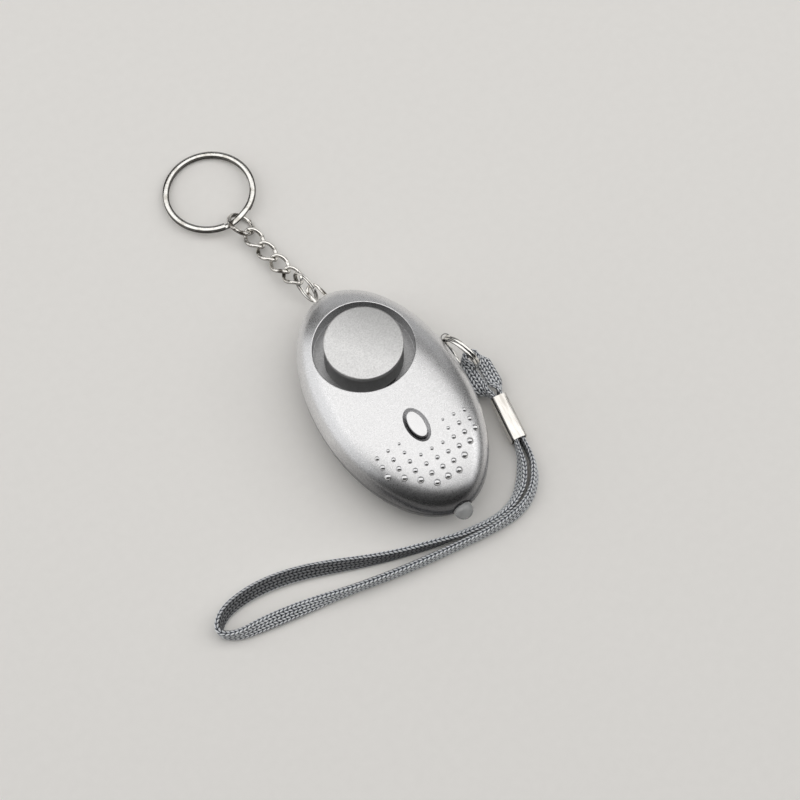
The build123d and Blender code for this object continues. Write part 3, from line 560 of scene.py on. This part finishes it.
# The ring, chain and sleeve nickel take painted shade from the edge attribute
nickel = polished_metal(
    "ring_nickel", (0.6, 0.58, 0.54), (0.86, 0.85, 0.82), 0.08,
    patches=(0.36, 0.5), patch_scale=300.0, edge_shaded=True,
)
chain_nickel = polished_metal(
    "chain_nickel", (0.13, 0.115, 0.1), (0.92, 0.9, 0.86), 0.09,
    patches=(0.36, 0.5), patch_scale=420.0, edge_shaded=True,
)
ferrule_nickel = polished_metal(
    "ferrule_nickel", (0.66, 0.63, 0.59), (0.9, 0.88, 0.84), 0.2, (1, 0.1, 1),
    patches=(0.38, 0.56), patch_scale=700.0, edge_shaded=True,
)
pin_nickel = polished_metal("pin_nickel", (0.15, 0.145, 0.14), (0.24, 0.23, 0.22), 0.3)
button_chrome = polished_metal(
    "chrome_button", (0.7, 0.7, 0.71), (0.78, 0.78, 0.79), 0.2, (1, 0.54, 1), button_shade,
)
steel = polished_metal("screw_steel", (0.42, 0.42, 0.42), (0.55, 0.55, 0.55), 0.3)
cell_steel = polished_metal("cell_steel", (0.6, 0.6, 0.6), (0.72, 0.72, 0.72), 0.22)
contact_nickel = polished_metal("contact_nickel", (0.6, 0.58, 0.54), (0.72, 0.7, 0.66), 0.25, (1, 6, 1))
brass = polished_metal("brass", (0.6, 0.44, 0.18), (0.76, 0.6, 0.28), 0.28)
copper = polished_metal("coil_copper", (0.5, 0.2, 0.08), (0.66, 0.32, 0.14), 0.3, (1, 1, 12))
aluminium = polished_metal("capacitor_can", (0.55, 0.57, 0.6), (0.68, 0.7, 0.72), 0.3)
black_plastic = moulded_plastic("moulded_black", (0.018, 0.018, 0.02), (0.035, 0.035, 0.037), 0.45)
foam = moulded_plastic("gasket_foam", (0.03, 0.03, 0.03), (0.06, 0.06, 0.06), 0.9, 1600.0, 0.00012)
ceramic = moulded_plastic("silvered_ceramic", (0.62, 0.62, 0.6), (0.78, 0.78, 0.75), 0.35)
red_wire = moulded_plastic("wire_red", (0.45, 0.03, 0.02), (0.6, 0.06, 0.04), 0.35)
green_board = circuit_green("board_green")
clear = clear_epoxy("clear_lens")
yarn = braid_yarn("strap_braid")

node_finishes = {
    "front_shell": silver, "rear_shell": silver_rear_painted_shade, "speaker_cap": silver_cap,
    "torch_button": button_chrome,
    "case_screws": steel, "piezo_plate": brass, "piezo_ceramic": ceramic, "piezo_gasket": foam,
    "piezo_wires": red_wire, "tact_switch": black_plastic, "tact_plunger": black_plastic, "torch_led": clear,
    "led_leads": contact_nickel, "circuit_board": green_board, "boost_coil": copper,
    "alarm_chip": black_plastic, "transistor": black_plastic, "capacitor": aluminium,
    "button_cell_1": cell_steel, "button_cell_2": cell_steel,
    "button_cell_3": cell_steel, "cell_link_bottom": contact_nickel, "cell_link_top": contact_nickel,
    "battery_plus_contact": contact_nickel, "battery_minus_contact": contact_nickel,
    "switch_fixed_leaf": brass,
    "switch_post": black_plastic, "switch_moving_leaf": brass, "pull_pin": pin_nickel, "pin_ring": nickel,
    "strap_ferrule": ferrule_nickel, "anchor_post": steel, "anchor_link": chain_nickel,
    "small_split_ring": nickel,
    "chain_link_1": chain_nickel, "chain_link_2": chain_nickel, "chain_link_3": chain_nickel,
    "chain_link_4": chain_nickel, "jump_ring": chain_nickel, "key_ring": nickel,
}
for node, material in node_finishes.items():
    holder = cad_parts[node]
    if not holder.material_slots:
        holder.data.materials.append(material)
    for material_slot in holder.material_slots:
        material_slot.material = material
for piece in (hand_loop, ring_loop):
    piece.data.materials.append(yarn)


# Rings wound from flat-sided wire, in two turns that cross over where their ends show
wire_squareness = 0.7
wire_points = 20
crossing_slope = radians(34)
end_gap = radians(20)


def squared(value, power):
    """A sine or cosine drawn out towards the corners."""
    return abs(value) ** power * (1 if value > 0 else -1)


def wire_outline(radial, axial):
    """The rounded section of a ring's wire."""
    outline = []
    for step in range(wire_points):
        angle = 2 * pi * step / wire_points
        across = squared(cos(angle), wire_squareness)
        upright = squared(sin(angle), wire_squareness)
        outline.append((radial / 2 * across, axial / 2 * upright))
    return outline


def dullness(out, height, radial, axial, standing):
    """How much shade is painted on the wire, from 0 to 1: at its corners, or on a standing ring between the
    turns.
    """
    if standing:
        groove = 1 - abs(height) / (0.1 * axial)
        flank = 0.55 * (abs(height) / (0.05 * axial) - 8.5)
        return min(max(groove, flank, 0), 1)
    return min(max(4.6 * abs(out) / radial - 1.15, 0), 1)


def piece_from(name, vertices, faces):
    """A new piece from vertices and faces, with its faces turned outwards."""
    mesh = bpy.data.meshes.new(name)
    mesh.from_pydata(vertices, [], faces)
    bm = bmesh.new()
    bm.from_mesh(mesh)
    bmesh.ops.recalc_face_normals(bm, faces=bm.faces)
    bm.to_mesh(mesh)
    bm.free()
    piece = bpy.data.objects.new(name, mesh)
    bpy.context.collection.objects.link(piece)
    return piece


def set_edge(piece, values):
    """Store the painted shade of the piece at each vertex."""
    edge = piece.data.attributes.new("edge", "FLOAT", "POINT")
    edge.data.foreach_set("value", values)


def coil_ring(name, centre, along, across, radius, wire, end_angle, body, node, steps, standing=False):
    """A two-turn split ring: each turn lies flat, and a short slope joins the two.

    wire is its width and its height over both turns.
    """
    radial, axial = wire
    axis = along.cross(across)
    outline = wire_outline(radial, axial / 2)
    first = end_gap
    last = 4 * pi - end_gap
    count = 2 * steps
    vertices = []
    wire_shades = []
    for step in range(count + 1):
        angle = first + (last - first) * step / count
        rise = min(max((angle - 2 * pi + crossing_slope / 2) / crossing_slope, 0), 1)
        level = (3 * rise ** 2 - 2 * rise ** 3 - 0.5) * axial / 2
        turn = angle + radians(end_angle)
        outwards = along * cos(turn) + across * sin(turn)
        for out, lift in outline:
            vertices.append(centre + outwards * (radius + out) + axis * (level + lift))
            # Painted shade on the wire's corners, or between the turns of a standing ring
            wire_shades.append(dullness(out, level + lift, radial, axial, standing))
    size = len(outline)
    faces = [tuple(reversed(range(size))), tuple(range(count * size, (count + 1) * size))]
    for step in range(count):
        for side in range(size):
            low = step * size
            high = low + size
            faces.append((low + side, low + (side + 1) % size, high + (side + 1) % size, high + side))
    ring = piece_from(name, vertices, faces)
    set_edge(ring, wire_shades)
    finish_piece(ring, body, nickel, [node])


def finish_piece(piece, body, material, nodes=()):
    """Give a piece its material, smooth shading and its body, and hide the nodes it stands for."""
    piece.data.materials.clear()
    piece.data.materials.append(material)
    pick(piece)
    bpy.ops.object.transform_apply(location=True, rotation=True, scale=True)
    bpy.ops.object.shade_smooth_by_angle(angle=radians(40))
    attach(piece, body)
    if nodes:
        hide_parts(*nodes)


# The chain's line from the post in the case, and the rings on it
post_place = mm(0, 30.9, 0)
chain_turn = radians(9.7)
chain_heading = Vector((-sin(chain_turn), cos(chain_turn), 0))
chain_left = UP.cross(chain_heading)
key_ring_radius = 11.65 * MM
key_ring_wire = (1.6 * MM, 1.5 * MM)
key_ring_distance = (31.09 + 5.41 + 13.4) * MM
key_ring_near_height = 2.74 * MM
key_ring_far_height = 0.82 * MM
key_ring_height = (key_ring_near_height + key_ring_far_height) / 2
key_ring_slope = (key_ring_near_height - key_ring_far_height) / (2 * key_ring_radius)
coil_ring(
    "key_ring_coil", post_place + chain_heading * key_ring_distance + UP * key_ring_height,
    (chain_heading - UP * key_ring_slope).normalized(), chain_left, key_ring_radius, key_ring_wire, 182,
    "key_ring", "key_ring", 112,
)
small_ring_radius = 4.3 * MM
small_ring_wire = (0.76 * MM, 1.0 * MM)
small_ring_distance = 9.8 * MM
small_ring_height = 6.3 * MM
small_ring_lean = radians(4)
small_ring_across = UP * cos(small_ring_lean) - chain_left * sin(small_ring_lean)
coil_ring(
    "small_ring_coil", post_place + chain_heading * small_ring_distance + UP * small_ring_height,
    chain_heading, small_ring_across, small_ring_radius, small_ring_wire, 60,
    "small_ring", "small_split_ring", 64, True,
)

# The pin ring hangs from the pin's eye, with its middle a little lower
eye_place = mm(20.75, 7.7, 10.3)
pin_ring_drop = 2.3 * MM
pin_ring_radius = 5.55 * MM
pin_ring_wire = (0.75 * MM, 1.75 * MM)
pin_ring_turn = radians(19)
pin_ring_lean = radians(-3)
pin_ring_heading = Vector((sin(pin_ring_turn), -cos(pin_ring_turn), 0))
pin_ring_reach = sqrt(pin_ring_radius ** 2 - pin_ring_drop ** 2)
pin_ring_across = UP * cos(pin_ring_lean) - pin_ring_heading.cross(UP) * sin(pin_ring_lean)
coil_ring(
    "pin_ring_coil", eye_place - UP * pin_ring_drop + pin_ring_heading * pin_ring_reach, pin_ring_heading,
    pin_ring_across, pin_ring_radius, pin_ring_wire, 250,
    "pin_ring", "pin_ring", 72, True,
)


def pin_with_eye():
    """The pull pin: a flat tongue with a thin tip, and a small eye of bent wire outside the case."""
    tongue_middle = 16.8 * MM
    tongue_size = (4.8 * MM, 3.2 * MM, 1.6 * MM)
    bpy.ops.mesh.primitive_cube_add(size=1, location=(tongue_middle, eye_place.y, eye_place.z))
    tongue = bpy.context.object
    tongue.name = "pull_pin_tongue"
    tongue.scale = tongue_size
    bpy.ops.object.transform_apply(location=True, rotation=True, scale=True)
    bpy.ops.object.mode_set(mode="EDIT")
    bpy.ops.mesh.select_all(action="DESELECT")
    edit = bmesh.from_edit_mesh(tongue.data)
    for face in edit.faces:
        face.select = face.normal.x < -0.9
    bmesh.update_edit_mesh(tongue.data)
    bpy.ops.transform.resize(value=(1, 0.9, 0.5))
    bpy.ops.object.mode_set(mode="OBJECT")
    bevel = tongue.modifiers.new("soft_edges", "BEVEL")
    bevel.width = 0.12 * MM
    bevel.segments = 2
    bpy.ops.object.modifier_apply(modifier="soft_edges")
    bpy.ops.mesh.primitive_torus_add(
        location=eye_place, major_radius=1.12 * MM, minor_radius=0.13 * MM,
        major_segments=40, minor_segments=14,
    )
    eye = bpy.context.object
    pick(tongue)
    eye.select_set(True)
    bpy.ops.object.join()
    finish_piece(tongue, "pin", pin_nickel, ["pull_pin"])


pin_with_eye()


def creased_sleeve():
    """The crimped metal sleeve: a flat-sided tube with shallow folds along it and slightly flared lips."""
    wide = 4.3 * MM
    tall = 4.7 * MM
    middle_inset = 0.15 * MM
    flare = 0.04 * MM
    flared_share = 1 / 12
    fold_depth = 0.05 * MM
    fold_count = 9
    around = 64
    rings = 20
    vertices = []
    corners = []
    for ring in range(rings + 1):
        share = ring / rings
        lip = flare * max(0, 1 - min(share, 1 - share) / flared_share)
        for step in range(around):
            angle = 2 * pi * step / around
            side = squared(cos(angle), 0.62)
            upright = squared(sin(angle), 0.42)
            fold = fold_depth * (0.5 + 0.5 * cos(fold_count * angle + 0.8 * sin(3 * share + angle)))
            reach_side = (wide / 2 - middle_inset + lip - fold * 0.5) * side
            reach_up = (tall / 2 - middle_inset + lip - fold) * upright
            place = ferrule_foot + ferrule_axis * (ferrule_length * share)
            vertices.append(place + strap_left * reach_side + strap_tall * reach_up)
            # Painted shade along the sleeve's long corners
            corners.append(max(0, 1 - abs(abs(side) - 0.93) / 0.07))
    faces = []
    for ring in range(rings):
        for step in range(around):
            low = ring * around
            high = low + around
            faces.append((low + step, low + (step + 1) % around, high + (step + 1) % around, high + step))
    sleeve = piece_from("crimped_sleeve", vertices, faces)
    set_edge(sleeve, corners)
    pick(sleeve)
    solid = sleeve.modifiers.new("wall", "SOLIDIFY")
    solid.thickness = 0.26 * MM
    solid.offset = 0
    bpy.ops.object.modifier_apply(modifier="wall")
    finish_piece(sleeve, "strap", ferrule_nickel, ["strap_ferrule"])


creased_sleeve()


# The lamp's height in the case, and its posts: name, distance to the side, tip and foot
lamp_height = 9.1
post_width = 0.5 * MM
lamp_posts = (("lamp_post_long", 1.27 * 0.75, -31.2, -28.5), ("lamp_post_short", -1.27 * 0.75, -31.9, -28.5))


def lamp_inside():
    """The cup and the two posts inside the clear lamp."""
    bpy.ops.mesh.primitive_cone_add(
        vertices=40, radius1=0.55 * MM, radius2=1.15 * MM, depth=0.9 * MM,
        location=mm(0.35, -31.6, lamp_height), rotation=(pi / 2, 0, 0),
    )
    cup = bpy.context.object
    cup.name = "lamp_cup"
    bpy.ops.object.mode_set(mode="EDIT")
    bpy.ops.mesh.select_all(action="DESELECT")
    edit = bmesh.from_edit_mesh(cup.data)
    edit.faces.ensure_lookup_table()
    mouth = max((face for face in edit.faces if len(face.verts) > 4), key=lambda face: face.calc_area())
    mouth.select = True
    bmesh.update_edit_mesh(cup.data)
    bpy.ops.mesh.inset(thickness=0.12 * MM)
    bpy.ops.mesh.extrude_region_move(TRANSFORM_OT_translate={"value": (0, 0.5 * MM, 0)})
    bpy.ops.transform.resize(value=(0.55, 1, 0.55))
    bpy.ops.object.mode_set(mode="OBJECT")
    finish_piece(cup, "case", contact_nickel)
    for name, x, tip, foot in lamp_posts:
        bpy.ops.mesh.primitive_cube_add(size=1, location=mm(x, (tip + foot) / 2, lamp_height))
        post = bpy.context.object
        post.name = name
        post.scale = (post_width, (foot - tip) * MM, post_width)
        bpy.ops.object.transform_apply(location=True, rotation=True, scale=True)
        bevel = post.modifiers.new("soft_edges", "BEVEL")
        bevel.width = 0.08 * MM
        bevel.segments = 2
        bpy.ops.object.modifier_apply(modifier="soft_edges")
        finish_piece(post, "case", contact_nickel)


lamp_inside()


def lamp_collar():
    """The dark seal round the lamp where it leaves the case."""
    bpy.ops.mesh.primitive_torus_add(
        location=mm(0, -33.75, lamp_height), rotation=(pi / 2, 0, 0),
        major_radius=2.64 * MM, minor_radius=0.13 * MM, major_segments=56, minor_segments=12,
    )
    collar = bpy.context.object
    collar.name = "lamp_seal"
    finish_piece(collar, "case", black_plastic)


def grip_bumps():
    """Polished faces of the grip bumps, each seated on the bump of the shell below it."""
    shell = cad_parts["front_shell"]
    above = 40
    column_pitch = 3.2
    row_pitch = 2.6
    front_row = -27.0
    radii = (0.8, 0.64, 0.54, 0.42, 0.34)
    columns = {0: (0, 4), 1: (0, 4), 2: (1, 5), 3: (2, 4), 4: (3, 3)}
    growth = 1.2
    sunk = 1.06
    domes = []
    for column, (first_row, count) in columns.items():
        for side in ((-1, 1) if column else (1,)):
            for step in range(count):
                x = side * column * column_pitch
                y = front_row + (first_row + step) * row_pitch
                top = shell.ray_cast(mm(x, y, above), (0, 0, -1))[1]
                bpy.ops.mesh.primitive_uv_sphere_add(
                    segments=28, ring_count=16, radius=radii[step] * growth * MM,
                    location=(x * MM, y * MM, top.z - radii[step] * sunk * MM),
                )
                domes.append(bpy.context.object)
    pick(domes[0])
    for dome in domes:
        dome.select_set(True)
    bpy.ops.object.join()
    domes[0].name = "grip_bump_faces"
    finish_piece(domes[0], "case", silver_bumps)


def stouter_wire(node, body, growth):
    """A chain piece of slightly stouter wire, with painted shade on its sides and underside."""
    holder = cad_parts[node]
    mesh = holder.data.copy()
    wire = bpy.data.objects.new(node + "_wire", mesh)
    bpy.context.collection.objects.link(wire)
    pick(wire)
    bpy.ops.object.mode_set(mode="EDIT")
    bpy.ops.mesh.select_all(action="SELECT")
    bpy.ops.mesh.remove_doubles(threshold=0.001 * MM)
    bpy.ops.mesh.normals_make_consistent(inside=False)
    bpy.ops.object.mode_set(mode="OBJECT")
    grow = wire.modifiers.new("stouter", "DISPLACE")
    grow.strength = growth
    grow.mid_level = 0
    bpy.ops.object.modifier_apply(modifier="stouter")
    finish_piece(wire, body, chain_nickel, [node])
    # Painted shade where the wire's normals turn away from up
    darkest_shade = 0.62
    rises = [vertex.normal.z for vertex in wire.data.vertices]
    set_edge(wire, [min(max((darkest_shade - rise) / 0.45, 0), darkest_shade) for rise in rises])


stouter_wire("chain_link_1", "link_1", 0.05 * MM)
for number in (2, 3, 4):
    stouter_wire("chain_link_" + str(number), "link_" + str(number), 0.1 * MM)
stouter_wire("jump_ring", "jump_ring", 0.1 * MM)
lamp_collar()
grip_bumps()


# Floor and studio light
def plain_floor():
    """The pale floor that the part lies on."""
    bpy.ops.mesh.primitive_plane_add(size=4, location=(0, 0, 0))
    floor = bpy.context.object
    floor.name = "studio_floor"
    material, tree, shader = new_material("studio_floor")
    place = object_place(tree)
    paper = noise(tree, place, 400.0, 3.0, 0.5)
    tone = ramp(tree, paper, [(0.0, (0.865, 0.85, 0.825)), (1.0, (0.9, 0.885, 0.86))])
    tree.links.new(tone, shader.inputs["Base Color"])
    set_shader(shader, Roughness=0.8)
    shader.inputs["Specular IOR Level"].default_value = 0.15
    floor.data.materials.append(material)


def soft_lamp(name, place, size, brightness, target=None, turn=0.0, colour=(1, 1, 1)):
    """A rectangular softbox of an even brightness, where 1 shows as white; it looks down unless aimed."""
    bpy.ops.object.light_add(type="AREA", location=place)
    lamp = bpy.context.object
    lamp.name = name
    lamp.data.shape = "RECTANGLE"
    lamp.data.size = size[0]
    lamp.data.size_y = size[1]
    lamp.data.energy = brightness * pi * size[0] * size[1]
    lamp.data.color = colour
    lamp.rotation_euler = (0, 0, radians(turn))
    if target:
        lamp.rotation_euler = (Vector(target) - Vector(place)).to_track_quat("-Z", "Y").to_euler()


plain_floor()
soft_lamp("overhead_softbox", (0.4, -0.05, 0.9), (2.75, 1.28), 1.22, turn=-30, colour=(1.0, 0.99, 0.975))
soft_lamp("left_window", (-1.04, 0.6, 0.5), (1.7, 1.0), 1.0, target=(0, 0, 0))
soft_lamp("back_panel", (0.75, 1.1, 0.4), (1.9, 0.8), 0.42, target=(0, 0, 0))
soft_lamp("right_panel", (1.2, -0.56, 0.62), (1.3, 0.45), 0.85, target=(0, 0, 0))
world = bpy.data.worlds.new("studio_world")
bpy.context.scene.world = world
world.use_nodes = True
background = world.node_tree.nodes["Background"]
background.inputs["Color"].default_value = (0.5, 0.5, 0.5, 1)
background.inputs["Strength"].default_value = 0.03
bpy.context.scene.view_settings.view_transform = "Standard"
